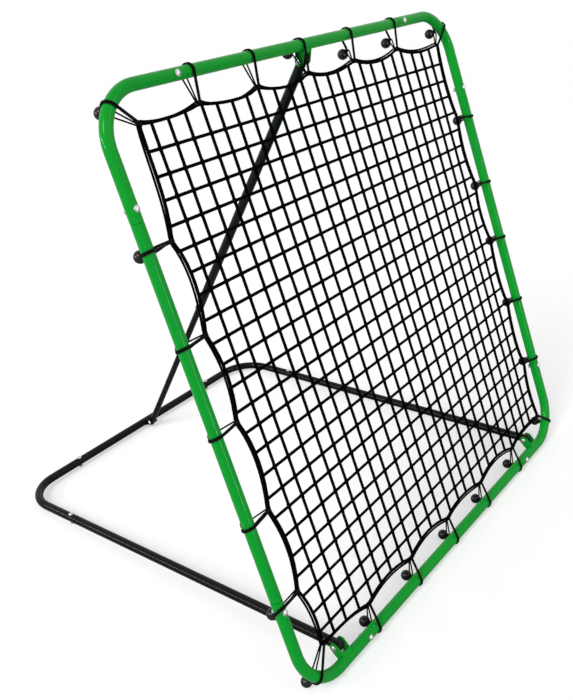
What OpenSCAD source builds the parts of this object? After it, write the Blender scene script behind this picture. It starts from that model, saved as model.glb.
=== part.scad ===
// Pitch back rebounder: a leaning square tube frame with an elastic square-mesh net, hinged to a
// U-shaped floor base and held by a telescopic strut. Millimetres, +Z up, X to the right, +Y back.
// The origin lies on the floor below the middle of the frame's bottom tube.

/* [Front frame] */
// Width between the centres of the side tubes
frame_width = 1195; // [1100:5:1300]
// Height between the centres of the top and bottom tubes
frame_height = 1195; // [1100:5:1300]
// Angle by which the frame leans back from upright
frame_lean = 18.8; // [14:0.1:24]
// Outside diameter of the frame tube
frame_tube_d = 25; // [23:0.5:28]
// Wall of the frame tube
frame_wall = 1.2; // [1:0.1:1.5]
// Radius of the corner bends at the tube's centre
frame_bend = 98; // [80:2:120]
// Length of an elbow's arm from the corner point to the seam
frame_arm = 222; // [200:2:250]

/* [Base] */
// Distance from the centres of the frame's side tubes to those of the base
base_inset = 127; // [120:1:145]
// Length from the hinge pivots to the centre of the back tube
base_length = 1035; // [950:5:1120]
// Outside diameter of the base tube
base_tube_d = 22; // [20:0.5:24]
// Wall of the base tube
base_wall = 1.2; // [1:0.1:1.5]
// Radius of the corner bends at the tube's centre
base_bend = 98; // [80:2:120]
// Length of an elbow's arm from the corner point to the seam
base_arm = 222; // [200:2:250]
// Length of the side tubes in front of the hinge pivots
base_nose = 8; // [7:0.5:9]

/* [Tube joints] */
// Length of the necked end that is pushed into an elbow
neck_length = 48; // [40:1:60]
// Clearance around a necked end
neck_fit = 0.15; // [0.1:0.05:0.3]
// Length of the taper from the full tube to its necked end
neck_taper = 1.5; // [1:0.5:3]
// Gap between an elbow and the shoulder of a straight tube
seam_gap = 0.3; // [0.2:0.1:0.6]
// Distance from a seam to its bolt
bolt_inset = 24; // [18:1:30]

/* [Bolts] */
// Diameter of the bolts
bolt_d = 6; // [5:0.5:7]
// Clearance around a bolt in its holes
bolt_fit = 0.3; // [0.2:0.05:0.5]
// Diameter of the domed heads
head_d = 13; // [11:0.5:14]
// Height of the domed heads
head_height = 4; // [3:0.5:5]
// Height of the straight rim under the dome
head_rim = 1.2; // [1:0.1:1.5]
// Width of the step between the rim and the dome
head_step = 0.4; // [0.3:0.1:0.6]
// Width of the nuts across their flats
nut_width = 10; // [9:0.5:11]
// Height of the nuts
nut_height = 5; // [4:0.5:6]
// Clearance between a nut and its bolt
nut_fit = 0.1; // [0.1:0.05:0.2]
// Length of thread beyond a nut
bolt_tail = 0.9; // [0.5:0.1:2]
// Gap under heads, nuts, brackets and plugs
seat_gap = 0.1; // [0.1:0.05:0.2]

/* [Brackets] */
// Distance from the centre of the frame tube to a bracket's pivot
bracket_reach = 33; // [31:0.5:36]
// Angle by which a bracket leans back from the frame's plane
bracket_lean = 28; // [22:1:34]
// Radius of the ears' round ends
ear_radius = 11; // [9:0.5:11.5]
// Thickness of the bracket strip
ear_thickness = 2.5; // [2:0.1:3]
// Clearance between an ear and the tube beside it
ear_fit = 0.6; // [0.4:0.1:0.8]
// Thickness of the web on the frame tube
web_thickness = 2.9; // [2:0.1:3.5]
// Distance of the strut's foot pivot in front of the back tube's centre
foot_forward = 23; // [23:0.5:26]
// Height of the strut's foot pivot above the back tube's centre
foot_rise = 2; // [1:0.5:3]
// Radius of the foot ears' round ends
foot_ear_radius = 8.5; // [7.5:0.5:9]
// Thickness of the foot bracket's saddle
saddle_thickness = 2; // [1.5:0.1:2.5]

/* [Strut] */
// Outside diameter of the outer tube
outer_tube_d = 22; // [21:0.5:24]
// Wall of the outer tube
outer_wall = 0.9; // [0.8:0.1:1.2]
// Length of the outer tube above the top pivot
outer_nose = 9; // [8:0.5:11]
// Outside diameter of the inner tube
inner_tube_d = 17; // [16:0.5:17.5]
// Wall of the inner tube
inner_wall = 0.9; // [0.8:0.1:1.2]
// Length of the inner tube above the foot pivot
inner_length = 762; // [755:1:800]
// Length of the inner tube below the foot pivot
inner_nose = 6; // [5.5:0.5:6]
// Distance from the foot pivot to the first lock hole
first_hole = 89.5; // [80:0.5:92]
// Distance between lock holes
hole_pitch = 110; // [100:1:110]
// Diameter of the lock holes
lock_hole_d = 7.4; // [7.2:0.1:8]
// Height of the snap button above the lower end of the outer tube
button_rise = 25; // [15:1:40]
// Diameter of the snap button
button_d = 6.8; // [6:0.1:6.8]
// How far the snap button stands out of the outer tube
button_proud = 2.2; // [1.5:0.1:3]
// Diameter of the snap button's collar
collar_d = 9.2; // [8.4:0.1:9.6]
// Thickness of the snap button's collar
collar_thickness = 1; // [0.8:0.1:1.2]
// Thickness of the leaf spring
spring_thickness = 0.8; // [0.6:0.1:1]
// Width of the leaf spring
spring_width = 6; // [5:0.5:6.5]
// Length of the leaf spring
spring_length = 47; // [40:1:55]
// Clearance between the end plugs and the tubes they close
plug_fit = 0.15; // [0.1:0.05:0.3]
// Thickness of the end plugs' flanges
plug_flange = 1.5; // [1:0.1:2]
// Depth of the end plugs in the base and outer tubes
plug_depth = 4; // [3:0.5:4]
// Depth of the end plug in the strut's foot
foot_plug_depth = 2; // [1.5:0.1:2]

/* [Net] */
// Distance from the frame tube's centre to the net's outermost cords
net_margin = 64.1; // [60:0.1:70]
// Number of gaps across the net
net_columns = 18; // [16:1:18]
// Number of gaps up the net
net_rows = 16; // [14:1:16]
// Thickness of the net's cords
net_cord = 5.6; // [4.5:0.1:6]
// Width of the net's edge cord beside the border rope
net_edge = 5.4; // [4.6:0.1:6]
// Diameter of the border rope
rope_d = 4.5; // [4:0.1:5]
// Gap between the border rope and the net's edge
rope_gap = 0.4; // [0.3:0.1:0.6]
// Depth of a scallop of the border rope between two elastic cords
scallop_depth = 13; // [10:0.5:18]
// Depth of the flatter scallops beside the corners
corner_scallop_depth = 8; // [6:0.5:12]
// Half the length of border rope that lies straight inside an elastic cord
tie_flat = 6.5; // [6:0.5:8]

/* [Elastic cords] */
// Distance from the bottom tube's centre to the border rope at a cord
bottom_reach = 51; // [49:1:56]
// Distance from the right tube's centre to the border rope at a cord
right_reach = 51; // [49:1:56]
// Distance from the top tube's centre to the border rope at a cord
top_reach = 56; // [52:1:60]
// Distance from the left tube's centre to the border rope at a cord
left_reach = 57; // [52:1:60]
// Width of the two strands side by side
band_width = 6.6; // [6:0.1:7]
// Thickness of a strand
band_thickness = 3.2; // [2.8:0.1:3.6]
// Gap between a cord and what it goes round
band_gap = 0.3; // [0.3:0.05:0.5]
// Diameter of the balls
ball_d = 24.5; // [22:0.5:25]
// Angle behind the bottom tube at which a ball lies
bottom_ball_angle = 76; // [70:1:84]
// Angle behind the right tube at which a ball lies
right_ball_angle = 46; // [44:1:56]
// Angle behind the left tube at which a ball lies
left_ball_angle = 82; // [76:1:92]
// Angle behind the tube of the ball at the bottom left corner
corner_ball_angle = 117; // [110:1:140]
// Angle behind the left tube of the balls half-way up it
left_middle_ball_angle = 52; // [48:1:60]
// Angle behind the top tube of the balls on its left half
top_ball_angle = 98; // [90:1:104]
// Distance that the balls behind the side tubes slip down
side_ball_slip = 7; // [0:1:10]
// Distance that the cords slip down the front of the left tube
left_slip = 1; // [0:1:8]
// Distance that the cords slip down the front of the right tube
right_slip = 7; // [0:1:12]
// Gap between the lowest side cords and the bolt heads below them
head_gap = 2; // [1:0.5:4]
// Distance that the cords slip to the left along the front of the bottom tube
bottom_slip = 3; // [0:1:8]
// Distance that the cords slip to the right along the front of the top tube
top_slip = 1; // [0:1:6]
// Distance that the balls at the top tube slip to the left
top_ball_slip = 2; // [0:1:6]
// Gap between the middle top ball and the strut's bracket beside it
middle_ball_gap = 0.8; // [0.5:0.1:1.5]
// Distance of the hanging top balls below the top tube's centre
ball_hang = 38; // [36:1:40]
// Distance of the hanging top balls behind the net
ball_behind = 22; // [21:1:24]

/* [Hidden] */
$fn = 48;
bite = 1;
green = [0, 0.56, 0.16];
black = [0.07, 0.07, 0.07];
charcoal = [0.13, 0.13, 0.14];
silver = [0.8, 0.8, 0.82];

// Places of the elastic cords, in net gaps from the middle of the net
bottom_ties = [-6.1, -3.1, -0.1, 2.87, 6.1];
right_ties = [-5.54, -2.84, -0.12, 2.23, 4.93];
top_ties = [-6.08, -3.15, -0.3, 2.7, 5.85];
left_ties = [-5.88, -3.19, -0.41, 2.2, 4.88];

// The corner cords in the order bottom right, top right, top left, bottom left: their shifts along
// the bends, their slips and their balls' slips, and distances from the tube's centre to the rope
corner_shifts = [-5, 13, 9, -2];
corner_slips = [-3, 0, -6, 1];
corner_ball_slips = [0, -12, -8, -4];
corner_reaches = [49, 52, 62, 61];

base_width = frame_width - 2 * base_inset;
frame_r = frame_tube_d / 2;
base_r = base_tube_d / 2;
outer_r = outer_tube_d / 2;
inner_r = inner_tube_d / 2;
bolt_hole_r = bolt_d / 2 + bolt_fit;
frame_bolt = frame_arm - bolt_inset;
base_bolt = base_arm - bolt_inset;

// The bottom cords lie on the floor, and so do the bolts under the back tube
frame_z = frame_r + band_gap + band_thickness;
pivot_up = bracket_reach * cos(bracket_lean);
pivot_back = bracket_reach * sin(bracket_lean);
hinge_y = pivot_up * sin(frame_lean) + pivot_back * cos(frame_lean);
hinge_z = frame_z + pivot_up * cos(frame_lean) - pivot_back * sin(frame_lean);
hanger_up = frame_height - pivot_up;
top_y = hanger_up * sin(frame_lean) + pivot_back * cos(frame_lean);
top_z = frame_z + hanger_up * cos(frame_lean) - pivot_back * sin(frame_lean);

bolt_drop = base_r + seat_gap + nut_height + bolt_tail;
first_slope = asin((hinge_z - bolt_drop) / base_length);
back_z = bolt_drop * cos(first_slope) + bolt_d / 2 * sin(first_slope);
base_slope = asin((hinge_z - back_z) / base_length);
foot_y = hinge_y + (base_length - foot_forward) * cos(base_slope) + foot_rise * sin(base_slope);
foot_z = hinge_z - (base_length - foot_forward) * sin(base_slope) + foot_rise * cos(base_slope);
foot_reach = norm([foot_forward, foot_rise]);
foot_angle = 180 - atan2(foot_rise, foot_forward);
saddle_angles = [205, 235, 265, 295];

strut_lean = atan2(foot_y - top_y, top_z - foot_z);
strut_length = norm([foot_y - top_y, top_z - foot_z]);
hole_count = 7;
lock_hole = 4;
button_z = first_hole + lock_hole * hole_pitch;
outer_length = strut_length - button_z + button_rise;

hinge_grip = base_tube_d + 2 * (ear_fit + ear_thickness);
hanger_grip = outer_tube_d + 2 * (ear_fit + ear_thickness);
foot_grip = inner_tube_d + 2 * (ear_fit + ear_thickness);

net_width = frame_width - 2 * net_margin;
net_height = frame_height - 2 * net_margin;
column = net_width / net_columns;
row = net_height / net_rows;
net_centre = frame_height / 2;
corner_in = frame_bend * (1 - cos(45));

module frame_place() translate([0, 0, frame_z]) rotate([-frame_lean, 0, 0]) children();
module base_place() translate([0, hinge_y, hinge_z]) rotate([-base_slope, 0, 0]) children();
module strut_place() translate([0, foot_y, foot_z]) rotate([strut_lean, 0, 0]) children();
module along_x() rotate([0, 90, 0]) children();
module hinge_pivot(x) translate([x, pivot_back, pivot_up]) children();
module top_pivot() translate([0, pivot_back, hanger_up]) children();
module foot_pivot() translate([0, base_length - foot_forward, foot_rise]) children();

// ---------- Tubes ----------

module tube_ring(r, wall) difference() {
    circle(r);
    circle(r - wall);
}

// A quarter bend with two straight arms along +X and +Y, drilled for its two bolts
module elbow(r, wall, bend, arm, bolt) difference() {
    union() {
        translate([bend, bend, 0]) rotate([0, 0, 180]) rotate_extrude(angle = 90)
            translate([bend, 0]) tube_ring(r, wall);
        translate([bend, 0, 0]) rotate([0, 90, 0]) linear_extrude(arm - bend) tube_ring(r, wall);
        translate([0, bend, 0]) rotate([-90, 0, 0]) linear_extrude(arm - bend) tube_ring(r, wall);
    }
    translate([bolt, 0, 0]) cylinder(h = 2 * r + bite, r = bolt_hole_r, center = true);
    translate([0, bolt, 0]) cylinder(h = 2 * r + bite, r = bolt_hole_r, center = true);
}

// Half section of a tube along +Z whose far end, and near end if asked for, is necked
module tube_section(r, wall, start, seam, necked_start) {
    neck_r = r - wall - neck_fit;
    low = necked_start ? seam_gap : start;
    low_full = necked_start ? seam_gap + neck_taper : start;
    low_r = necked_start ? neck_r : r;
    tip = necked_start ? -neck_length : start;
    high = seam - seam_gap;
    polygon([[low_r, tip], [low_r, low], [r, low_full], [r, high - neck_taper], [neck_r, high],
        [neck_r, seam + neck_length], [neck_r - wall, seam + neck_length], [neck_r - wall, high],
        [r - wall, high - neck_taper], [r - wall, low_full], [low_r - wall, low],
        [low_r - wall, tip]]);
}

module straight_tube(r, wall, seam) difference() {
    rotate_extrude() tube_section(r, wall, 0, seam, true);
    for (z = [-bolt_inset, seam + bolt_inset]) translate([0, 0, z]) rotate([90, 0, 0])
        cylinder(h = 2 * r + bite, r = bolt_hole_r, center = true);
}

module end_plug(r, wall, depth) {
    translate([0, 0, seat_gap]) cylinder(h = plug_flange, r = r);
    translate([0, 0, -depth]) cylinder(h = depth + seat_gap + bite / 2, r = r - wall - plug_fit);
}

// ---------- Bolts and nuts ----------

// A bolt along +Z: its head seats on z = 0 and its nut on z = grip
module bolt(grip) {
    dome = head_height - head_rim;
    dome_edge = head_d / 2 - head_step;
    dome_r = (dome_edge * dome_edge + dome * dome) / (2 * dome);
    rotate_extrude() {
        translate([0, -seat_gap - head_rim]) square([head_d / 2, head_rim]);
        intersection() {
            translate([0, dome_r - seat_gap - head_height]) circle(dome_r);
            translate([0, -seat_gap - head_height]) square([head_d / 2, dome + head_rim / 4]);
        }
        translate([0, -seat_gap - head_rim])
            square([bolt_d / 2, head_rim + grip + 2 * seat_gap + nut_height + bolt_tail]);
    }
}

module nut(grip) translate([0, 0, grip + seat_gap]) difference() {
    cylinder(h = nut_height, r = nut_width / 2 / cos(30), $fn = 6);
    translate([0, 0, -bite]) cylinder(h = nut_height + 2 * bite, r = bolt_d / 2 + nut_fit);
}

// A head in front of the frame and its nut behind, at a place in the frame's plane
module through_frame(x, z) translate([x, -frame_r, z]) rotate([-90, 0, 0]) children();

module at_frame_joints() for (sx = [-1, 1], sz = [0, 1]) {
    through_frame(sx * (frame_width / 2 - frame_bolt), sz * frame_height) children();
    through_frame(sx * frame_width / 2, sz > 0 ? frame_height - frame_bolt : frame_bolt) children();
}

module at_base_joints() for (side = [-1, 1]) {
    translate([side * base_width / 2, base_length - base_bolt, base_r]) rotate([180, 0, 0])
        children();
    translate([side * (base_width / 2 - base_bolt), base_length, base_r]) rotate([180, 0, 0])
        children();
}

module at_hinges() for (side = [-1, 1])
    hinge_pivot(side * base_width / 2 - hinge_grip / 2) along_x() children();

// ---------- Front frame ----------

module frame_elbow(x, z, turn) color(green) frame_place() translate([x, 0, z])
    rotate([0, turn, 0]) rotate([90, 0, 0])
    elbow(frame_r, frame_wall, frame_bend, frame_arm, frame_bolt);

module frame_elbow_top_left() frame_elbow(-frame_width / 2, frame_height, 90);
module frame_elbow_top_right() frame_elbow(frame_width / 2, frame_height, 180);
module frame_elbow_bottom_left() frame_elbow(-frame_width / 2, 0, 0);
module frame_elbow_bottom_right() frame_elbow(frame_width / 2, 0, -90);

module frame_cross_tube(z) color(green) frame_place()
    translate([frame_arm - frame_width / 2, 0, z]) along_x()
    straight_tube(frame_r, frame_wall, frame_width - 2 * frame_arm);

module frame_side_tube(x) color(green) frame_place() translate([x, 0, frame_arm])
    straight_tube(frame_r, frame_wall, frame_height - 2 * frame_arm);

module frame_tube_top() frame_cross_tube(frame_height);
module frame_tube_bottom() frame_cross_tube(0);
module frame_tube_left() frame_side_tube(-frame_width / 2);
module frame_tube_right() frame_side_tube(frame_width / 2);

// A folded strip on the frame tube with two ears; drawn with its pivot along +X
module strip_bracket(gap, grip) {
    seat = frame_r + seat_gap;
    difference() {
        linear_extrude(grip, center = true) difference() {
            union() {
                translate([bracket_reach, 0]) circle(ear_radius);
                translate([0, -ear_radius]) square([bracket_reach, 2 * ear_radius]);
            }
            circle(seat);
            translate([bracket_reach, 0]) circle(bolt_hole_r);
        }
        translate([seat + web_thickness, -ear_radius - bite, -gap / 2])
            cube([bracket_reach + ear_radius, 2 * (ear_radius + bite), gap]);
    }
}

module hinge_bracket(x) color(green) frame_place() translate([x, 0, 0])
    rotate([90, 0, 90]) rotate([0, 0, 90 - bracket_lean])
    strip_bracket(hinge_grip - 2 * ear_thickness, hinge_grip);

module hinge_bracket_left() hinge_bracket(-base_width / 2);
module hinge_bracket_right() hinge_bracket(base_width / 2);

module strut_hanger_bracket() color(green) frame_place() translate([0, 0, frame_height])
    rotate([90, 0, 90]) rotate([0, 0, bracket_lean - 90])
    strip_bracket(hanger_grip - 2 * ear_thickness, hanger_grip);

module frame_bolts() color(silver) frame_place() at_frame_joints() bolt(frame_tube_d);
module frame_nuts() color(silver) frame_place() at_frame_joints() nut(frame_tube_d);
module hinge_bolts() color(silver) frame_place() at_hinges() bolt(hinge_grip);
module hinge_nuts() color(silver) frame_place() at_hinges() nut(hinge_grip);

// ---------- Base ----------

module base_elbow_left() color(black) base_place()
    translate([-base_width / 2, base_length, 0]) rotate([0, 0, -90])
    elbow(base_r, base_wall, base_bend, base_arm, base_bolt);

module base_elbow_right() color(black) base_place()
    translate([base_width / 2, base_length, 0]) rotate([0, 0, 180])
    elbow(base_r, base_wall, base_bend, base_arm, base_bolt);

module base_side_tube(x) color(black) base_place() translate([x, 0, 0]) rotate([-90, 0, 0])
    difference() {
        seam = base_length - base_arm;
        rotate_extrude() tube_section(base_r, base_wall, -base_nose, seam, false);
        translate([0, 0, seam + bolt_inset]) rotate([90, 0, 0])
            cylinder(h = base_tube_d + bite, r = bolt_hole_r, center = true);
        along_x() cylinder(h = base_tube_d + bite, r = bolt_hole_r, center = true);
    }

module base_side_tube_left() base_side_tube(-base_width / 2);
module base_side_tube_right() base_side_tube(base_width / 2);

module base_back_tube() color(black) base_place()
    translate([base_arm - base_width / 2, base_length, 0]) rotate([90, 0, 0]) along_x()
    straight_tube(base_r, base_wall, base_width - 2 * base_arm);

module base_end_plugs() color(charcoal) base_place() for (side = [-1, 1])
    translate([side * base_width / 2, -base_nose, 0]) rotate([90, 0, 0])
    end_plug(base_r, base_wall, plug_depth);

module base_bolts() color(silver) base_place() at_base_joints() bolt(base_tube_d);
module base_nuts() color(silver) base_place() at_base_joints() nut(base_tube_d);

// Two ears in front of the back tube, joined by a saddle that runs under it
module strut_foot_bracket() color(black) base_place() translate([0, base_length, 0])
    rotate([90, 0, 90]) union() {
        seat = base_r + seat_gap;
        rim = seat + saddle_thickness;
        for (side = [-1, 1]) translate([0, 0, side * (foot_grip - ear_thickness) / 2])
            linear_extrude(ear_thickness, center = true) rotate(foot_angle) difference() {
                union() {
                    translate([foot_reach, 0]) circle(foot_ear_radius);
                    translate([0, -foot_ear_radius]) square([foot_reach, 2 * foot_ear_radius]);
                }
                circle(seat + seat_gap);
                translate([foot_reach, 0]) circle(bolt_hole_r);
            }
        linear_extrude(foot_grip, center = true) intersection() {
            difference() {
                circle(rim);
                circle(seat);
            }
            polygon([[0, 0], for (a = saddle_angles) 2 * rim * [cos(a), sin(a)]]);
        }
    }

module strut_foot_bolt() color(silver) base_place() foot_pivot()
    translate([-foot_grip / 2, 0, 0]) along_x() bolt(foot_grip);
module strut_foot_nut() color(silver) base_place() foot_pivot()
    translate([-foot_grip / 2, 0, 0]) along_x() nut(foot_grip);

// ---------- Strut ----------

module strut_outer_tube() color(charcoal) strut_place() difference() {
    translate([0, 0, strut_length - outer_length]) linear_extrude(outer_length + outer_nose)
        tube_ring(outer_r, outer_wall);
    translate([0, 0, strut_length]) along_x()
        cylinder(h = outer_tube_d + bite, r = bolt_hole_r, center = true);
    translate([-outer_tube_d, 0, button_z]) along_x()
        cylinder(h = outer_tube_d, r = lock_hole_d / 2);
}

module strut_inner_tube() color(charcoal) strut_place() difference() {
    translate([0, 0, -inner_nose]) linear_extrude(inner_nose + inner_length)
        tube_ring(inner_r, inner_wall);
    along_x() cylinder(h = inner_tube_d + bite, r = bolt_hole_r, center = true);
    for (i = [0:hole_count - 1]) translate([-inner_tube_d, 0, first_hole + i * hole_pitch])
        along_x() cylinder(h = inner_tube_d, r = lock_hole_d / 2);
}

module strut_top_cap() color(charcoal) strut_place()
    translate([0, 0, strut_length + outer_nose]) end_plug(outer_r, outer_wall, plug_depth);

module strut_foot_plug() color(charcoal) strut_place() translate([0, 0, -inner_nose])
    rotate([180, 0, 0]) end_plug(inner_r, inner_wall, foot_plug_depth);

module strut_top_bolt() color(silver) frame_place() top_pivot()
    translate([-hanger_grip / 2, 0, 0]) along_x() bolt(hanger_grip);
module strut_top_nut() color(silver) frame_place() top_pivot()
    translate([-hanger_grip / 2, 0, 0]) along_x() nut(hanger_grip);

// The collar lies inside the inner tube, as far out as its round wall lets it
bore_r = inner_r - inner_wall;
collar_x = sqrt(bore_r * bore_r - collar_d * collar_d / 4) - seat_gap;
button_tip = outer_r + button_proud;

module snap_button() color(silver) strut_place() translate([0, 0, button_z]) rotate([0, -90, 0])
    rotate_extrude() {
        translate([0, collar_x - collar_thickness]) square([collar_d / 2, collar_thickness]);
        translate([0, collar_x - collar_thickness])
            square([button_d / 2, button_tip - collar_x + collar_thickness - button_d / 4]);
        intersection() {
            translate([0, button_tip - button_d / 2]) circle(button_d / 2);
            translate([0, button_tip - button_d / 4 - bite / 10])
                square([button_d / 2, button_d / 4 + bite / 10]);
        }
    }

// A bent leaf whose two legs press on the button's collar and on the far wall
module snap_spring() color(silver) strut_place() translate([0, 0, button_z]) rotate([90, 0, 0])
    linear_extrude(spring_width, center = true) {
        near = collar_x - collar_thickness - seat_gap;
        far = sqrt(bore_r * bore_r - spring_width * spring_width / 4) - seat_gap;
        top = collar_d / 2;
        low = top - spring_length;
        t = spring_thickness;
        polygon([[-near, top], [t - near, top], [1.5 * t, low + 5 * t], [far - t, top],
            [far, top], [2 * t, low], [t, low]]);
    }

// ---------- Net ----------

// Elastic cords in order round the frame. Each entry holds the point [x, z] on the tube's centre
// line beside the cord's place on the rope, the direction towards the net, how far the cord slips
// along the front of the tube, how far its ball does, the angle behind the tube at which the ball
// lies, or 0 if it hangs, and the distance to the rope.
// Slip counts to the left below, up on the left, to the right on top, down on the right.
// The lowest cord on each side stays above the bolt head beside it. The left one's ball hangs
// below that bolt's nut, unless the bolt is far away.
bolt_space = (head_d + band_width) / 2 + head_gap;
left_over_bolt = net_centre + left_ties[0] * row - frame_bolt;
right_over_bolt = net_centre + right_ties[0] * row - frame_bolt;
left_low_ball = left_over_bolt < 2 * bolt_space ? left_over_bolt + bolt_space : side_ball_slip;
right_low_ball = min(side_ball_slip, right_over_bolt - bolt_space);
middle_slip = -top_ties[2] * column - hanger_grip / 2 - middle_ball_gap - ball_d / 2;
top_balls = [[-top_ball_slip, top_ball_angle], [-top_ball_slip, top_ball_angle],
    [middle_slip, bottom_ball_angle], [-top_ball_slip, 0], [-top_ball_slip, 0]];

// The cord at corner i, which is drawn towards the net in the direction turn
function corner_tie(i, turn, angle) = let (shift = corner_shifts[i]) [
    -sign(cos(turn)) * (frame_width / 2 - corner_in) - shift * sin(turn),
    net_centre - sign(sin(turn)) * (frame_height / 2 - corner_in) + shift * cos(turn),
    turn, corner_slips[i], corner_ball_slips[i], angle, corner_reaches[i]];

ties = concat(
    [for (c = bottom_ties)
        [c * column, 0, 90, bottom_slip, 0, bottom_ball_angle, bottom_reach]],
    [corner_tie(0, 135, bottom_ball_angle)],
    [for (i = [0:4]) [frame_width / 2, net_centre + right_ties[i] * row, 180,
        i == 0 ? min(right_slip, right_over_bolt - bolt_space) : right_slip,
        i == 0 ? right_low_ball : side_ball_slip, right_ball_angle, right_reach]],
    [corner_tie(1, 225, right_ball_angle)],
    [for (i = [4:-1:0]) [top_ties[i] * column, frame_height, 270, top_slip, top_balls[i][0],
        top_balls[i][1], top_reach]],
    [corner_tie(2, 315, left_ball_angle)],
    [for (i = [4:-1:0]) [-frame_width / 2, net_centre + left_ties[i] * row, 0,
        i == 0 ? -min(left_slip, left_over_bolt - bolt_space) : -left_slip,
        i == 0 ? -left_low_ball : -side_ball_slip,
        i % 4 == 0 ? left_ball_angle : left_middle_ball_angle, left_reach]],
    [corner_tie(3, 45, corner_ball_angle)]);
tie_count = len(ties);

function unit(v) = v / norm(v);
function left_of(v) = [-v[1], v[0]];
function inward(t) = [cos(t[2]), sin(t[2])];
function onward(t) = [sin(t[2]), -cos(t[2])];
function tie_point(t) = [t[0], t[1]] + t[6] * inward(t);

// The border rope's centre line in the frame's plane: a short straight piece inside each cord
// and a parabola between two of them. Every sixth cord is one at a corner.
function scallop(i) = i % 6 < 4 ? scallop_depth : corner_scallop_depth;
rope_line = [for (i = [0:tie_count - 1])
    let (a = ties[i], b = ties[(i + 1) % tie_count],
        from = tie_point(a) + tie_flat * onward(a),
        to = tie_point(b) - tie_flat * onward(b))
    for (u = [0, 0.25, 0.5, 0.75, 1])
        from + u * (to - from) + 4 * u * (1 - u) * scallop(i) * left_of(unit(to - from))];

// The outward-to-inward mitre at point i of a closed line
function mitre(line, i) =
    let (n = len(line),
        before = left_of(unit(line[i] - line[(i + n - 1) % n])),
        after = left_of(unit(line[(i + 1) % n] - line[i])),
        middle = unit(before + after))
    middle / (middle * before);

function inset_line(line, d) = [for (i = [0:len(line) - 1]) line[i] + d * mitre(line, i)];

edge_out = rope_d / 2 + rope_gap;
edge_in = edge_out + net_edge;

module net_mesh() color(black) frame_place() rotate([90, 0, 0])
    linear_extrude(net_cord, center = true) difference() {
        polygon(inset_line(rope_line, edge_out));
        intersection() {
            polygon(inset_line(rope_line, edge_in));
            for (i = [0:net_columns - 1], j = [0:net_rows - 1])
                translate([(i - net_columns / 2) * column + net_cord / 2,
                    net_centre + (j - net_rows / 2) * row + net_cord / 2])
                square([column - net_cord, row - net_cord]);
        }
        for (t = ties) translate(tie_point(t)) rotate(t[2])
            translate([edge_in + band_gap, -band_width / 2 - band_gap])
            square([band_thickness + 2 * band_gap, band_width + 2 * band_gap]);
    }

// Faces of a tube of rings with the same number of points each
function side_faces(rings, sides, closed) = [for (i = [0:rings - (closed ? 1 : 2)], k = [0:sides - 1])
    let (a = i * sides, b = (i + 1) % rings * sides, l = (k + 1) % sides)
    each [[a + k, b + l, b + k], [a + k, a + l, b + l]]];

module net_border_rope() color(black) frame_place() {
    sides = 6;
    points = [for (i = [0:len(rope_line) - 1], k = [0:sides - 1])
        let (m = mitre(rope_line, i) * rope_d / 2 * cos(360 * k / sides))
        [rope_line[i][0] + m[0], rope_d / 2 * sin(360 * k / sides), rope_line[i][1] + m[1]]];
    polyhedron(points, side_faces(len(rope_line), sides, true));
}

// ---------- Elastic cords ----------

// A cord's route in its own frame: [towards the net, behind it, along the tube]
wrap_step = 28;
wrap_count = 7;
wrap_r = (frame_r + band_gap + band_thickness / 2) / cos(wrap_step / 2);
ball_r = ball_d / 2;
ball_seat = wrap_r + band_thickness / 2 / cos(wrap_step / 2) + band_gap + ball_r;
loop_side = max(rope_d, net_cord) / 2 + band_gap + band_thickness / 2;
loop_end = edge_in + 2 * band_gap + band_thickness / 2;
// The loop's cut corners stay off the corners of the net's edge cord
loop_cut = band_thickness + 2 * band_gap - sqrt(2) * (band_thickness / 2 + band_gap);

function on_wrap(angle, slip) = [wrap_r * cos(angle), wrap_r * sin(angle), slip];
function leave_angle(a, b) = acos(wrap_r / norm([a, b]));
function front_angle(t) = 360 - atan2(loop_side, t[6]) - leave_angle(t[6], loop_side);
hang_angle = atan2(ball_behind, ball_hang) + leave_angle(ball_hang, ball_behind);
// A flat of the wrap faces the floor under the bottom tube
first_wrap = 180 - frame_lean - wrap_count / 2 * wrap_step;

function hangs(t) = t[5] == 0;
function ball_place(t) = hangs(t) ? [ball_hang, ball_behind, t[4]]
    : [ball_seat * cos(t[5]), ball_seat * sin(t[5]), t[4]];
function beside_ball(t, p) =
    let (way = unit(p - ball_place(t)))
    ball_place(t) + (ball_r + band_gap + band_width / 2 * abs(way[2])) * way;
function ease(u) = u < 0 ? 0 : u * u * (3 - 2 * u);
function wrap_point(t, i) =
    on_wrap(first_wrap + i * wrap_step, t[4] + (t[3] - t[4]) * ease(i / wrap_count));
function route(t) = concat(
    hangs(t) ? [beside_ball(t, on_wrap(hang_angle, t[4])), on_wrap(hang_angle, t[4])]
        : [for (i = [t[5] < first_wrap ? -1 : 0:1]) wrap_point(t, i)],
    [for (i = [2:wrap_count]) wrap_point(t, i)],
    [on_wrap(front_angle(t), t[3]),
        [t[6], -loop_side, 0],
        [t[6] + loop_end - loop_cut, -loop_side, 0],
        [t[6] + loop_end, loop_cut - loop_side, 0],
        [t[6] + loop_end, loop_side - loop_cut, 0],
        [t[6] + loop_end - loop_cut, loop_side, 0],
        [t[6], loop_side, 0],
        beside_ball(t, [t[6], loop_side, 0])]);

function flat_way(line, i) = unit([line[i + 1][0] - line[i][0], line[i + 1][1] - line[i][1]]);
function band_mitre(line, i) =
    let (last = len(line) - 1,
        before = left_of(flat_way(line, max(i - 1, 0))),
        after = left_of(flat_way(line, min(i, last - 1))),
        middle = unit(before + after))
    middle / (middle * before);

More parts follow.
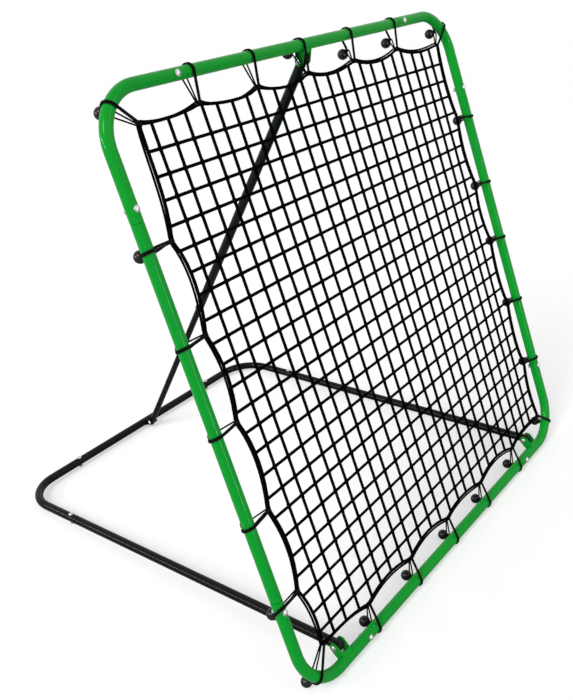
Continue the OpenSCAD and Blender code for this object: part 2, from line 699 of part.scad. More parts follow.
module elastic_cord(t) translate([t[0], 0, t[1]]) rotate([0, -t[2], 0]) {
    line = route(t);
    w = band_width / 2;
    h = band_thickness / 2;
    section = [[w, 0], [0.6 * w, h], [-0.6 * w, h], [-w, 0], [-0.6 * w, -h], [0.6 * w, -h]];
    points = [for (i = [0:len(line) - 1], s = section)
        let (m = band_mitre(line, i) * s[1])
        [line[i][0] + m[0], line[i][1] + m[1], line[i][2] + s[0]]];
    last = 6 * (len(line) - 1);
    polyhedron(points, concat(side_faces(len(line), 6, false),
        [for (k = [1:4]) [0, k + 1, k]], [for (k = [1:4]) [last, last + k, last + k + 1]]));
}

module elastic_cords(first, last) color(black) frame_place()
    for (i = [first:last]) elastic_cord(ties[i]);

module bungee_cords_bottom() elastic_cords(0, 4);
module bungee_cords_right() elastic_cords(6, 10);
module bungee_cords_top() elastic_cords(12, 16);
module bungee_cords_left() elastic_cords(18, 22);
module bungee_cords_corner() color(black) frame_place()
    for (i = [5, 11, 17, 23]) elastic_cord(ties[i]);

module bungee_balls() color(charcoal) frame_place() for (t = ties)
    translate([t[0], 0, t[1]]) rotate([0, -t[2], 0]) translate(ball_place(t)) sphere(ball_r);

frame_elbow_top_left();
frame_elbow_top_right();
frame_elbow_bottom_left();
frame_elbow_bottom_right();
frame_tube_top();
frame_tube_bottom();
frame_tube_left();
frame_tube_right();
hinge_bracket_left();
hinge_bracket_right();
strut_hanger_bracket();
frame_bolts();
frame_nuts();
hinge_bolts();
hinge_nuts();
base_elbow_left();
base_elbow_right();
base_side_tube_left();
base_side_tube_right();
base_back_tube();
base_end_plugs();
base_bolts();
base_nuts();
strut_foot_bracket();
strut_foot_bolt();
strut_foot_nut();
strut_outer_tube();
strut_inner_tube();
strut_top_cap();
strut_foot_plug();
strut_top_bolt();
strut_top_nut();
snap_button();
snap_spring();
net_mesh();
net_border_rope();
bungee_cords_bottom();
bungee_cords_right();
bungee_cords_top();
bungee_cords_left();
bungee_cords_corner();
bungee_balls();
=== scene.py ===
import math

import bmesh
import bpy
from mathutils import Matrix, Vector


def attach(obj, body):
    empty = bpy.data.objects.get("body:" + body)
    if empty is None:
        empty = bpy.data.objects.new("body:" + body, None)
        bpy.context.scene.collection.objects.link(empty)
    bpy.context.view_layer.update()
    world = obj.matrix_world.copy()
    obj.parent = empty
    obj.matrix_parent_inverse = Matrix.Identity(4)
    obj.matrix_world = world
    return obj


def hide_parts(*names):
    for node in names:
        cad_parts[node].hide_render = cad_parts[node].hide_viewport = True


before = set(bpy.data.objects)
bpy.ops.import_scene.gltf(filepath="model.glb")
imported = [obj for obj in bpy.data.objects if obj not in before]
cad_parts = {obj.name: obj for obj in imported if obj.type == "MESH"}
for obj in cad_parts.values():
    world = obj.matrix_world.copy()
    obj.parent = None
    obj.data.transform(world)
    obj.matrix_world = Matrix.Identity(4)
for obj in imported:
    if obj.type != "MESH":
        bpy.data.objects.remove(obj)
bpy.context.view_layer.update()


# ---------- Camera ----------
# A long lens at chest height looks down on the front of the net from its left side, so that the
# leaning frame, the strut behind the net and the base on the floor are all seen at once.

camera_place = Vector((-1.57460, -0.77739, 1.38276))
camera_yaw = math.radians(51.2543)
camera_pitch = math.radians(25.937)
camera_roll = math.radians(-3.7258)

ahead = Vector((math.sin(camera_yaw) * math.cos(camera_pitch),
                math.cos(camera_yaw) * math.cos(camera_pitch), -math.sin(camera_pitch)))
level = Vector((math.cos(camera_yaw), -math.sin(camera_yaw), 0))
upright = level.cross(ahead)
image_right = math.cos(camera_roll) * level + math.sin(camera_roll) * upright
image_up = math.cos(camera_roll) * upright - math.sin(camera_roll) * level

camera = bpy.data.objects.new("camera", bpy.data.cameras.new("camera"))
camera.data.sensor_width = 36
camera.data.lens = 45.2296
camera.matrix_world = (Matrix.Translation(camera_place)
                       @ Matrix((image_right, image_up, -ahead)).transposed().to_4x4())
bpy.context.collection.objects.link(camera)
bpy.context.scene.camera = camera


# ---------- Base tubes ----------
# The U-shaped base is thin steel tube of 22 mm, bent cold at the two back corners and finished in
# black stove enamel. The straight tubes are necked at their ends and pushed into the elbows.

def new_material(name, colour, roughness, metallic=0.0):
    """A material with one Principled shader, and handles to its node tree and shader."""
    material = bpy.data.materials.new(name)
    material.use_nodes = True
    tree = material.node_tree
    shader = tree.nodes["Principled BSDF"]
    shader.inputs["Base Color"].default_value = (*colour, 1)
    shader.inputs["Roughness"].default_value = roughness
    shader.inputs["Metallic"].default_value = metallic
    return material, tree, shader


def add_node(tree, kind, settings=None, **inputs):
    """A node with its settings and its inputs, each of them a value or a socket to link."""
    node = tree.nodes.new(kind)
    for name, value in (settings or {}).items():
        setattr(node, name, value)
    for name, value in inputs.items():
        key = int(name[1:]) if name[1:].isdigit() else name.replace("_", " ")
        socket = node.inputs[key]
        if isinstance(value, bpy.types.NodeSocket):
            tree.links.new(value, socket)
        else:
            socket.default_value = value
    return node


def object_point(tree):
    return add_node(tree, "ShaderNodeTexCoord").outputs["Object"]


def grain(tree, point, scale, detail=2.0, roughness=0.5):
    return add_node(tree, "ShaderNodeTexNoise", Vector=point, Scale=scale, Detail=detail,
                    Roughness=roughness).outputs["Fac"]


def remap(tree, value, low, high, to_low, to_high):
    return add_node(tree, "ShaderNodeMapRange", Value=value, From_Min=low, From_Max=high,
                    To_Min=to_low, To_Max=to_high).outputs["Result"]


def mix_colours(tree, factor, first, second):
    node = add_node(tree, "ShaderNodeMix", {"data_type": "RGBA"})
    sockets = (node.inputs["Factor"], node.inputs[6], node.inputs[7])
    for socket, value in zip(sockets, (factor, first, second)):
        if isinstance(value, bpy.types.NodeSocket):
            tree.links.new(value, socket)
        else:
            socket.default_value = value if isinstance(value, float) else (*value, 1)
    return node.outputs[2]


def raise_surface(tree, shader, height, depth):
    """Bumps the shader by a height of 0 to 1 times a depth in metres."""
    bump = add_node(tree, "ShaderNodeBump", Height=height, Distance=depth, Strength=1.0)
    tree.links.new(bump.outputs["Normal"], shader.inputs["Normal"])


def dress(material, *nodes):
    """Gives CAD nodes their finish."""
    for name in nodes:
        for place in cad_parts[name].material_slots:
            place.material = material


def enamel(name, colour, worn_colour, roughness, shine):
    """Sprayed enamel: a slight orange peel, uneven gloss, and dust specks under the coat."""
    material, tree, shader = new_material(name, colour, roughness)
    point = object_point(tree)
    cloud = grain(tree, point, 9.0, 3.0)
    speck = remap(tree, grain(tree, point, 900.0, 1.0), 0.66, 0.72, 0.0, 1.0)
    shade = mix_colours(tree, remap(tree, cloud, 0.35, 0.65, 0.0, 0.35), colour, worn_colour)
    tree.links.new(mix_colours(tree, remap(tree, speck, 0.0, 1.0, 0.0, 0.25), shade, worn_colour),
                   shader.inputs["Base Color"])
    tree.links.new(remap(tree, grain(tree, point, 60.0, 4.0), 0.3, 0.7, roughness * 0.8,
                         roughness * 1.25), shader.inputs["Roughness"])
    shader.inputs["Specular IOR Level"].default_value = shine
    peel_depth = 0.00003
    raise_surface(tree, shader, grain(tree, point, 420.0, 1.0), peel_depth)
    return material


black_enamel = enamel("black_enamel", (0.0006, 0.0006, 0.0008), (0.002, 0.002, 0.0025), 0.1, 0.14)
dress(black_enamel, "base_elbow_left", "base_elbow_right", "base_side_tube_left",
      "base_side_tube_right", "base_back_tube", "strut_foot_bracket")


# ---------- Plugs ----------
# The open tube ends are closed with plugs of moulded black polyethylene, whose finely sparked
# surface shines only softly.

plug_plastic, tree, shader = new_material("plug_plastic", (0.008, 0.008, 0.009), 0.5)
shader.inputs["Specular IOR Level"].default_value = 0.25
point = object_point(tree)
tree.links.new(remap(tree, grain(tree, point, 140.0, 3.0), 0.3, 0.7, 0.42, 0.6),
               shader.inputs["Roughness"])
spark_depth = 0.00004
raise_surface(tree, shader, grain(tree, point, 2600.0, 2.0), spark_depth)
dress(plug_plastic, "base_end_plugs", "strut_top_cap", "strut_foot_plug")


# ---------- Strut ----------
# The telescopic strut is two steel tubes, enamelled a very dark greenish grey. The outer one slides
# down over the inner one, and the snap button locks it at one of the drilled holes.

grey_enamel = enamel("grey_enamel", (0.001, 0.004, 0.0035), (0.002, 0.007, 0.006), 0.12, 0.16)
dress(grey_enamel, "strut_outer_tube", "strut_inner_tube")


# ---------- Frame tubes ----------
# The square front frame is steel tube of 25 mm, four elbows and four straight tubes, sprayed in
# glossy green enamel together with the folded brackets that are welded on.

green_enamel = enamel("green_enamel", (0.0005, 0.31, 0.02), (0.0005, 0.25, 0.032), 0.1, 0.12)
dress(green_enamel, "frame_elbow_top_left", "frame_elbow_top_right", "frame_elbow_bottom_left",
      "frame_elbow_bottom_right", "frame_tube_top", "frame_tube_bottom", "frame_tube_left",
      "frame_tube_right", "hinge_bracket_left", "hinge_bracket_right", "strut_hanger_bracket")


# ---------- Bolts and nuts ----------
# All joints are held by zinc-plated M6 bolts with domed heads and hexagon nuts. The bright plating
# is slightly cloudy, with small dark pits.

zinc, tree, shader = new_material("zinc", (0.62, 0.63, 0.65), 0.3, 1.0)
point = object_point(tree)
cloud = grain(tree, point, 260.0, 4.0)
pits = remap(tree, grain(tree, point, 700.0, 2.0), 0.56, 0.66, 0.0, 1.0)
bright_zinc = (0.72, 0.73, 0.75)
dull_zinc = (0.5, 0.5, 0.5)
pit_colour = (0.12, 0.115, 0.11)
plating = mix_colours(tree, remap(tree, cloud, 0.35, 0.65, 0.0, 1.0), bright_zinc, dull_zinc)
tree.links.new(mix_colours(tree, remap(tree, pits, 0.0, 1.0, 0.0, 0.7), plating, pit_colour),
               shader.inputs["Base Color"])
tree.links.new(remap(tree, cloud, 0.3, 0.7, 0.2, 0.42), shader.inputs["Roughness"])
pit_depth = 0.00005
raise_surface(tree, shader, grain(tree, point, 900.0, 3.0), pit_depth)
dress(zinc, "frame_bolts", "frame_nuts", "hinge_bolts", "hinge_nuts", "base_bolts", "base_nuts",
      "strut_foot_bolt", "strut_foot_nut", "strut_top_bolt", "strut_top_nut", "snap_button",
      "snap_spring")


# ---------- Border rope ----------
# A braided rope of black synthetic yarn, 4.4 mm thick, runs right round the net. The elastic cords
# pull it out to the frame, and it bows in between them in shallow scallops.

frame_lean = math.radians(18.8)
frame_rise = 0.016
frame_side = 1.195
net_margin = 0.0641
elbow_bend = 0.098
corner_in = elbow_bend * (1 - math.cos(math.radians(45)))
rope_radius = 0.0022
tie_flat = 0.0065


def in_frame(across, behind, up):
    """A point of the leaning frame: across to the right, behind the tubes, up along them."""
    return Vector((across, behind * math.cos(frame_lean) + up * math.sin(frame_lean),
                   frame_rise - behind * math.sin(frame_lean) + up * math.cos(frame_lean)))


# Each tie: the point on the tube's centre line beside it (across, up), the direction towards the
# net in degrees, the slip of its front and of its ball along the tube, the ball's angle behind the
# tube, or 0 if the ball hangs free, and the distance from the tube's centre to the rope. Places
# along a tube are counted from its middle in columns and rows of a coarse grid over the net.
net_width = frame_side - 2 * net_margin
coarse_columns = 18
coarse_rows = 16
coarse_column = net_width / coarse_columns
coarse_row = net_width / coarse_rows
middle = frame_side / 2
side = middle
bottom_ties = [(x * coarse_column, 0, 90, 0.003, 0, 76, 0.051)
               for x in (-6.1, -3.1, -0.1, 2.87, 6.1)]
right_ties = [(side, middle + z * coarse_row, 180, 0.007, 0.007, 46, 0.051)
              for z in (-5.54, -2.84, -0.12, 2.23, 4.93)]
top_ties = [(x * coarse_column, frame_side, 270, 0.001, slip, angle, 0.056)
            for x, slip, angle in ((5.85, -0.002, 0), (2.7, -0.002, 0), (-0.3, -0.0094, 76),
                                   (-3.15, -0.002, 98), (-6.08, -0.002, 98))]
left_ties = [(-side, middle + z * coarse_row, 0, slip, ball, angle, 0.057)
             for z, slip, ball, angle in ((4.88, -0.001, -0.007, 82), (2.2, -0.001, -0.007, 56),
                                          (-0.41, -0.001, -0.007, 56), (-3.19, -0.001, -0.007, 56),
                                          (-5.88, 0.0044, -0.0192, 82))]


def corner_tie(turn, shift, slip, ball_slip, angle, reach):
    """The tie at a corner, whose place on the rope lies a little way along the bend."""
    c = math.cos(math.radians(turn))
    s = math.sin(math.radians(turn))
    across = -math.copysign(side - corner_in, c) - shift * s
    up = middle - math.copysign(side - corner_in, s) + shift * c
    return across, up, turn, slip, ball_slip, angle, reach


ties = (bottom_ties + [corner_tie(135, -0.005, -0.003, 0, 76, 0.049)]
        + right_ties + [corner_tie(225, 0.013, 0, -0.012, 46, 0.052)]
        + top_ties + [corner_tie(315, 0.009, -0.006, -0.008, 82, 0.062)]
        + left_ties + [corner_tie(45, -0.002, 0.001, -0.004, 117, 0.061)])

# Each scallop, from a tie to the next: its depth, how far the rope has rolled behind the net's
# edge cord, from 0, beside it, to 1, right behind it, and where along it lies deepest.
scallops = ((0.012, 0, 0.5), (0.0137, 0, 0.5), (0.0105, 0, 0.45), (0.016, 0, 0.5), (0.008, 0.1, 0.4),
            (0.010, 0, 0.5), (0.0113, 0, 0.42), (0.0102, 0, 0.42), (0.011, 0.1, 0.5), (0.012, 0, 0.5),
            (0.010, 0, 0.45), (0.0108, 0.3, 0.55), (0.0126, 0.4, 0.5), (0.0106, 0.6, 0.52),
            (0.0116, 0.9, 0.45), (0.009, 1, 0.42), (0.0045, 0.9, 0.45), (0.006, 0.2, 0.66),
            (0.0148, 0.3, 0.45), (0.0125, 0.1, 0.5), (0.0138, 0, 0.48), (0.0133, 0, 0.52),
            (0.009, 0.3, 0.5), (0.004, 0.5, 0.62))


def flat_point(tie, inward, along):
    """A point in the frame's plane, from a tie's distances towards the net and along the tube."""
    turn = math.radians(tie[2])
    return Vector((tie[0] + inward * math.cos(turn) - along * math.sin(turn),
                   tie[1] + inward * math.sin(turn) + along * math.cos(turn)))


def rope_way(steps, apart, gap):
    """The closed line beside the rope's scallops, apart from it on the net's side, and further by
    a gap in the middle of each scallop. It also gives each point's roll and share of its scallop."""
    line = []
    shares = []
    for tie, following, (depth, rolled, deepest) in zip(ties, ties[1:] + ties[:1], scallops):
        start = flat_point(tie, tie[6], -tie_flat)
        end = flat_point(following, following[6], tie_flat)
        way = (end - start).normalized()
        bend = math.log(0.5) / math.log(deepest)
        for k in range(steps + 1):
            u = k / steps
            bow = depth * 4 * u ** bend * (1 - u ** bend)
            line.append(start.lerp(end, u) + Vector((-way.y, way.x)) * bow)
            shares.append((rolled, math.sin(math.pi * u)))
    moved = []
    for i, (point, (rolled, swell)) in enumerate(zip(line, shares)):
        way = (line[(i + 1) % len(line)] - line[i - 1]).normalized()
        aside = apart + gap * swell * (1 - rolled)
        moved.append(point + Vector((-way.y, way.x)) * aside)
    return moved, shares


def lay_cord(mesh, points, radius, closed=False, sides=1):
    """Adds a round cord along the points to a bmesh. Its UV map counts metres along the cord."""
    curve = bpy.data.curves.new("lay", "CURVE")
    curve.dimensions = "3D"
    curve.bevel_depth = 1.0
    curve.bevel_resolution = sides
    curve.use_fill_caps = not closed
    spline = curve.splines.new("POLY")
    spline.points.add(len(points) - 1)
    radii = radius if isinstance(radius, list) else [radius] * len(points)
    for knot, point, r in zip(spline.points, points, radii):
        knot.co = (*point, 1)
        knot.radius = r
    spline.use_cyclic_u = closed
    holder = bpy.data.objects.new("lay", curve)
    bpy.context.collection.objects.link(holder)
    bpy.context.view_layer.update()
    graph = bpy.context.evaluated_depsgraph_get()
    laid = bpy.data.meshes.new_from_object(holder.evaluated_get(graph))
    steps = [(points[i] - points[i - 1]).length for i in range(1, len(points))]
    if closed:
        steps.append((points[0] - points[-1]).length)
    reached = [0.0]
    for step in steps:
        reached.append(reached[-1] + step)
    for corner in laid.uv_layers["UVMap"].data:
        place = corner.uv.x * len(steps)
        i = min(int(place), len(steps) - 1)
        corner.uv = (reached[i] + (place - i) * steps[i], corner.uv.y)
    for face in laid.polygons:
        face.use_smooth = True
    mesh.from_mesh(laid)
    bpy.data.objects.remove(holder)
    bpy.data.curves.remove(curve)
    bpy.data.meshes.remove(laid)


def finish_piece(mesh, name, material, body, slot, *nodes):
    """Makes an object of a bmesh, in place in the frame, with its body, and hides the CAD nodes it
    replaces. The slot is not used.
    """
    data = bpy.data.meshes.new(name)
    mesh.to_mesh(data)
    mesh.free()
    piece = bpy.data.objects.new(name, data)
    bpy.context.collection.objects.link(piece)
    data.materials.append(material)
    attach(piece, body)
    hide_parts(*nodes)


def reckon(tree, operation, first, second=0.5):
    """The result of an operation on one or two values, each of them a number or a socket."""
    return add_node(tree, "ShaderNodeMath", {"operation": operation}, _0=first, _1=second).outputs[0]


def braided(name, colour, crest_highlight_colour, pitch, strands, depth, roughness, sheen):
    """Braided yarn on a cord's UV map: two sets of yarns that wind round it in opposite ways.
    The crests carry a painted highlight and the grooves between them painted shade.
    """
    material, tree, shader = new_material(name, colour, roughness)
    place = add_node(tree, "ShaderNodeUVMap", {"uv_map": "UVMap"}).outputs["UV"]
    split = add_node(tree, "ShaderNodeSeparateXYZ", Vector=place)
    along = reckon(tree, "DIVIDE", split.outputs["X"], pitch)
    around = reckon(tree, "MULTIPLY", split.outputs["Y"], strands)
    yarns = []
    for operation in ("ADD", "SUBTRACT"):
        turn = reckon(tree, operation, along, around)
        wave = reckon(tree, "COSINE", reckon(tree, "MULTIPLY", turn, 2 * math.pi))
        yarns.append(remap(tree, wave, -1.0, 1.0, 0.0, 1.0))
    height = reckon(tree, "MULTIPLY", yarns[0], yarns[1])
    fuzz = grain(tree, object_point(tree), 1500.0, 2.0)
    # Painted highlight and shade: the yarn crests take the lighter colour, the grooves the darker
    # one.
    tree.links.new(mix_colours(tree, height, colour, crest_highlight_colour), shader.inputs["Base Color"])
    tree.links.new(remap(tree, fuzz, 0.3, 0.7, roughness - 0.1, roughness + 0.1),
                   shader.inputs["Roughness"])
    shader.inputs["Specular IOR Level"].default_value = 0.0
    shader.inputs["Sheen Weight"].default_value = sheen
    shader.inputs["Sheen Roughness"].default_value = 0.5
    raise_surface(tree, shader, height, depth)
    return material


# The second colour is the painted highlight on the yarn crests.
rope_yarn = braided("rope_yarn", (0.0015, 0.0015, 0.0015), (0.006, 0.006, 0.006), pitch=0.009,
                    strands=6.0, depth=0.0004, roughness=0.7, sheen=0.02)
twine_radius = 0.0033
rope_clearance = 0.0003
edge_apart = rope_radius + rope_clearance + twine_radius
rope_steps = 12
rope = bmesh.new()
rope_line, shares = rope_way(rope_steps, 0, 0)
rope_points = []
for i, (point, (rolled, swell)) in enumerate(zip(rope_line, shares)):
    way = (rope_line[(i + 1) % len(rope_line)] - rope_line[i - 1]).normalized()
    roll = math.radians(90) * rolled * swell ** 0.5
    inward = Vector((-way.y, way.x)) * edge_apart * (1 - math.cos(roll))
    rope_points.append(in_frame(point.x + inward.x, edge_apart * math.sin(roll),
                                point.y + inward.y))
lay_cord(rope, rope_points, rope_radius, closed=True, sides=3)
finish_piece(rope, "border_rope", rope_yarn, "front_frame", "net_cord", "net_border_rope")


# ---------- Net ----------
# The square-mesh net is knotless black nylon twine of 6.6 mm, 24 meshes each way, a little thicker
# where two cords cross. It is stretched unevenly, and its outermost cord runs beside the rope.

edge_gap = 0.0012
edge_steps = 8
meshes = 24
mesh_size = 0.04445
net_reach = 0.49
crossing_margin = 0.004
crossing_half = 0.007
crossing_flat = 0.0035
crossing_swell = 1.1
weave_height = 0.0006

# Uneven tension shifts the upright cords to the right and the level ones down. It makes the meshes
# wider and narrower in slow waves, and by a ripple from mesh to mesh, at rates in radians a mesh.
right_shift = 0.0045
right_drift = 0.003
right_drift_rate = 0.25
right_sway = 0.0025
right_sway_rate = 0.8
right_ripple = 0.002
right_ripple_rate = 2.15
down_shift = 0.008
down_drift = 0.0025
down_drift_rate = 0.4
down_ripple = 0.0015
down_ripple_rate = 1.8

columns = []
rows = []
for i in range(1 - meshes // 2, meshes // 2):
    columns.append(i * mesh_size + right_shift + right_drift * math.sin(right_drift_rate * i)
                   + right_sway * math.cos(right_sway_rate * i)
                   + right_ripple * math.sin(right_ripple_rate * i))
    rows.append(middle + i * mesh_size - down_shift + down_drift * math.sin(down_drift_rate * i)
                - down_ripple * math.cos(down_ripple_rate * i))

# How far a cord moves aside per metre: the middle one, what changes from one side of the net to
# the other, and what both sides have more than the middle.
upright_lean = -0.012
upright_fan = 0.0055
upright_bow = 0.011
level_lean = 0.006
level_fan = -0.0085
level_bow = -0.0055


def cord_line(upright, i):
    """A cord's place at the middle of the net, and how far it moves aside per metre."""
    if upright:
        u = columns[i] / net_reach
        return columns[i], upright_lean + upright_fan * u + upright_bow * u * u
    u = (rows[i] - middle) / net_reach
    return rows[i], level_lean + level_fan * u + level_bow * u * u


def cord_point(upright, i, along):
    """Where a cord is, across and up, at a distance along it."""
    place, lean = cord_line(upright, i)
    aside = place + lean * (along - middle) if upright else place + lean * along
    return (aside, along) if upright else (along, aside)


def straight_twine(edge, upright, i):
    """The points and radii of one straight cord between the edge cords, thicker at crossings."""
    aside = 0 if upright else 1
    onward = 1 - aside
    ends = []
    for k, point in enumerate(edge):
        before = edge[k - 1]
        a, b = (p[aside] - cord_point(upright, i, p[onward])[aside] for p in (before, point))
        if a * b < 0:
            ends.append((before + (point - before) * a / (a - b))[onward])
    start = min(ends)
    end = max(ends)
    places = [(start, 0), (end, 0)]
    for j in range(len(rows)):
        place, lean = cord_line(not upright, j)
        crossing = place + lean * (cord_line(upright, i)[0] - (0 if upright else middle))
        if start + crossing_margin < crossing < end - crossing_margin:
            raised = 1 if (i + j + upright) % 2 else -1
            places += [(crossing - crossing_half, 0), (crossing - crossing_flat, raised),
                       (crossing, raised), (crossing + crossing_flat, raised),
                       (crossing + crossing_half, 0)]
    places.sort()
    points = []
    radii = []
    for place, raised in places:
        across, up = cord_point(upright, i, place)
        points.append(in_frame(across, weave_height * raised, up))
        radii.append(twine_radius * (crossing_swell if raised else 1.0))
    return points, radii


# The second colour is the painted highlight on the yarn crests.
net_twine = braided("net_twine", (0.001, 0.001, 0.001), (0.004, 0.004, 0.004), pitch=0.008,
                    strands=6.0, depth=0.0004, roughness=0.75, sheen=0.01)
net = bmesh.new()
edge_line = rope_way(edge_steps, edge_apart, edge_gap)[0]
for upright in (True, False):
    for i in range(len(columns)):
        points, radii = straight_twine(edge_line, upright, i)
        lay_cord(net, points, radii)
lay_cord(net, [in_frame(p.x, 0, p.y) for p in edge_line], twine_radius, closed=True)
finish_piece(net, "net", net_twine, "front_frame", "net_cord", "net_mesh")


# ---------- Elastic cords ----------
# Each tie is one loop of elastic cord of 3.4 mm. Both strands leave a ball, pass round the frame
# tube and the rope, and the end of the loop is hooked back over the neck of its ball.

tube_radius = 0.0125
strand_radius = 0.0017
strand_gap = 0.0003
wrap_radius = tube_radius + strand_gap + strand_radius
wrap_start = math.radians(63.2)
wrap_turn = math.radians(196)
wrap_steps = 24
arc_steps = 8
ball_radius = 0.01225
seat_radius = 0.02905
ball_hang = 0.038
ball_behind = 0.022
loop_side = rope_radius + strand_gap + strand_radius
hook_spread = 0.0072
hook_clearance = 0.0008
hook_depth = 2 * strand_radius + hook_clearance
shortest_neck = 0.004
mouth_depth = 0.004
mouth_step = 0.0005
neck_step = 0.0008
neck_bend = 0.25


def ball_centre(tie):
    """A ball's centre, from the tube's centre at its tie: inward, behind and along."""
    if tie[5] == 0:
        return Vector((ball_hang, ball_behind, tie[4]))
    turn = math.radians(tie[5])
    return Vector((seat_radius * math.cos(turn), seat_radius * math.sin(turn), tie[4]))


def tie_to_world(tie, point):
    flat = flat_point(tie, point.x, point.z)
    return in_frame(flat.x, point.y, flat.y)


def on_wrap(tie, angle):
    """A point of the wrap round the tube, which climbs from the ball's slip to the front's."""
    u = min(max((angle - wrap_start) / wrap_turn, 0), 1)
    climb = u * u * (3 - 2 * u)
    return Vector((wrap_radius * math.cos(angle), wrap_radius * math.sin(angle),
                   tie[4] + (tie[3] - tie[4]) * climb))


def neck_of(tie):
    """Where a ball's loop is hooked, its mouth's direction, and where its cords touch the tube."""
    ball = ball_centre(tie)
    rope_back = Vector((tie[6], loop_side, 0))
    touch = math.atan2(loop_side, tie[6]) + math.acos(wrap_radius / math.hypot(tie[6], loop_side))
    angle = math.atan2(ball.y, ball.x)
    if angle >= touch:
        touch, neck = angle, on_wrap(tie, angle)
    else:
        foot = on_wrap(tie, touch)
        way = (rope_back - foot).normalized()
        neck = foot + way * max((ball - foot).dot(way), shortest_neck)
    mouth = (neck - ball).normalized()
    return ball + mouth * (ball_radius + strand_radius), mouth, touch


def strand(tie, aside):
    """One strand from the ball's mouth round the tube and the rope, a little aside of the tie."""
    neck, mouth, touch = neck_of(tie)
    reach = tie[6]
    front = (2 * math.pi - math.atan2(loop_side, reach)
             - math.acos(wrap_radius / math.hypot(reach, loop_side)))
    apart = Vector((0, 0, aside))
    points = [neck - mouth * (strand_radius + mouth_depth) + apart,
              neck - mouth * mouth_step + apart,
              neck + mouth * neck_step + (on_wrap(tie, touch) - neck) * neck_bend + apart]
    for i in range(1, wrap_steps + 1):
        points.append(on_wrap(tie, touch + (front - touch) * i / wrap_steps) + apart)
    for i in range(arc_steps + 1):
        angle = -math.pi / 2 + math.pi * i / arc_steps
        round_rope = Vector((reach + loop_side * math.cos(angle), loop_side * math.sin(angle), 0))
        points.append(round_rope + apart)
    return points, neck


def elastic_loop(mesh, tie):
    """Adds a tie's whole loop: out on one strand, over the ball's neck, and back on the other."""
    first, neck = strand(tie, strand_radius)
    second = strand(tie, -strand_radius)[0]
    back = (neck - first[-1]).normalized()
    turn = []
    for i in range(arc_steps + 1):
        angle = math.pi * i / arc_steps
        turn.append(neck + Vector((0, 0, hook_spread * math.cos(angle)))
                    + back * hook_depth * math.sin(angle))
    way = first + turn + second[::-1]
    lay_cord(mesh, [tie_to_world(tie, p) for p in way], strand_radius)


# The second colour is the painted highlight on the yarn crests.
elastic = braided("elastic", (0.0025, 0.0025, 0.003), (0.009, 0.009, 0.009), pitch=0.004,
                  strands=4.0, depth=0.0002, roughness=0.6, sheen=0.06)
for name, chosen in (("bottom", ties[0:5]), ("right", ties[6:11]), ("top", ties[12:17]),
                     ("left", ties[18:23]), ("corner", [ties[5], ties[11], ties[17], ties[23]])):
    loops = bmesh.new()
    for tie in chosen:
        elastic_loop(loops, tie)
    finish_piece(loops, "elastic_cords_" + name, elastic, "front_frame", "elastic_cord",
                 "bungee_cords_" + name)


# ---------- Balls ----------
# The balls are moulded in glossy black plastic in two halves, with a fine raised parting line. Most
# lie against the back of the tube, and two hang free from their cords.

ball_plastic, tree, shader = new_material("ball_plastic", (0.004, 0.0045, 0.005), 0.22)
shader.inputs["Specular IOR Level"].default_value = 0.3
point = object_point(tree)
tree.links.new(remap(tree, grain(tree, point, 160.0, 3.0), 0.3, 0.7, 0.16, 0.3),
               shader.inputs["Roughness"])
scuff_depth = 0.00004
raise_surface(tree, shader, grain(tree, point, 500.0, 2.0), scuff_depth)
seam_swell = 1.006
seam_half = 0.0001

balls = bmesh.new()
for tie in ties:
    one = bmesh.new()
    bmesh.ops.create_uvsphere(one, u_segments=32, v_segments=16, radius=ball_radius)
    for vert in one.verts:
        if abs(vert.co.z) < seam_half:
            vert.co.xy *= seam_swell
    ball = ball_centre(tie)
    mouth = neck_of(tie)[1]
    turn = mouth.to_track_quat("Z", "Y").to_matrix().to_4x4()
    bmesh.ops.transform(one, matrix=Matrix.Translation(ball) @ turn, verts=one.verts)
    for vert in one.verts:
        vert.co = tie_to_world(tie, vert.co)
    for face in one.faces:
        face.smooth = True
    bmesh.ops.recalc_face_normals(one, faces=one.faces)
    held = bpy.data.meshes.new("ball")
    one.to_mesh(held)
    one.free()
    balls.from_mesh(held)
    bpy.data.meshes.remove(held)
finish_piece(balls, "balls", ball_plastic, "front_frame", "ball_plastic", "bungee_balls")


# ---------- Floor and light ----------
# A wide floor of matt paper and a sky, both white to the camera, as in a plain studio. Two wide suns
# light the object, and two long strip lamps that the camera doesn't see draw lines on the tubes.

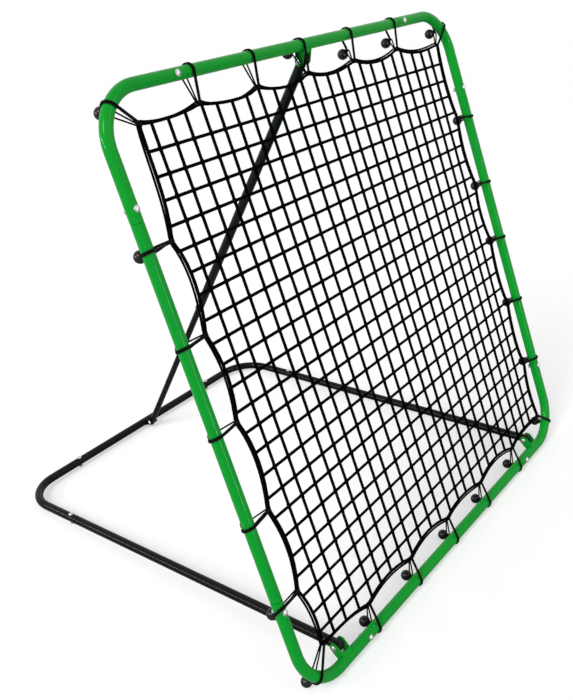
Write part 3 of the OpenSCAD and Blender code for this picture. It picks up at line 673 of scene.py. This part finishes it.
floor_reach = 30
floor_glow = 0.475
sky_light = 0.42
floor_mesh = bmesh.new()
bmesh.ops.create_grid(floor_mesh, x_segments=1, y_segments=1, size=floor_reach)
floor_data = bpy.data.meshes.new("floor")
floor_mesh.to_mesh(floor_data)
floor_mesh.free()
floor = bpy.data.objects.new("floor", floor_data)
bpy.context.collection.objects.link(floor)
floor_paper, tree, shader = new_material("floor_paper", (0.6, 0.6, 0.6), 0.9)
rays = add_node(tree, "ShaderNodeLightPath")
glow = add_node(tree, "ShaderNodeEmission", Color=(1, 1, 1, 1))
seen = reckon(tree, "MULTIPLY", rays.outputs["Is Camera Ray"], floor_glow)
tree.links.new(seen, glow.inputs["Strength"])
total = add_node(tree, "ShaderNodeAddShader")
tree.links.new(shader.outputs[0], total.inputs[0])
tree.links.new(glow.outputs[0], total.inputs[1])
tree.links.new(total.outputs[0], tree.nodes["Material Output"].inputs["Surface"])
floor_data.materials.append(floor_paper)

world = bpy.data.worlds.new("studio")
bpy.context.scene.world = world
world.use_nodes = True
tree = world.node_tree
backdrop = tree.nodes["Background"]
rays = add_node(tree, "ShaderNodeLightPath")
seen = reckon(tree, "MAXIMUM", rays.outputs["Is Camera Ray"], rays.outputs["Is Glossy Ray"])
seen = reckon(tree, "MAXIMUM", seen, rays.outputs["Is Transmission Ray"])
strength = add_node(tree, "ShaderNodeMapRange", Value=seen, To_Min=sky_light, To_Max=1.0)
backdrop.inputs["Color"].default_value = (1, 1, 1, 1)
tree.links.new(strength.outputs["Result"], backdrop.inputs["Strength"])


def lamp(name, kind, place, aim, power, **shape):
    """A lamp at a place, turned to its aim: a sun with an angle, or an area lamp with its sizes."""
    light = bpy.data.lights.new(name, kind)
    for key, value in shape.items():
        setattr(light, key, value)
    light.energy = power
    holder = bpy.data.objects.new(name, light)
    holder.location = place
    holder.rotation_euler = (Vector(aim) - Vector(place)).to_track_quat("-Z", "Y").to_euler()
    holder.visible_camera = False
    bpy.context.collection.objects.link(holder)


lamp("key_lamp", "SUN", (-2.9, 0.5, 3.1), (0, 0.4, 0.5), 1.55, angle=math.radians(22))
lamp("fill_lamp", "SUN", (1.5, -3.0, 2.5), (0, 0.4, 0.4), 0.3, angle=math.radians(26))
lamp("strip_lamp_front", "AREA", (-0.4, -4.0, 0.9), (-0.4, 0.3, 0.6), 45, shape="RECTANGLE", size=0.2,
     size_y=2.0)
lamp("strip_lamp_left", "AREA", (-3.4, 2.4, 1.5), (-0.5, 0.5, 0), 55, shape="RECTANGLE", size=3.2,
     size_y=0.15)

bpy.context.scene.view_settings.view_transform = "Standard"
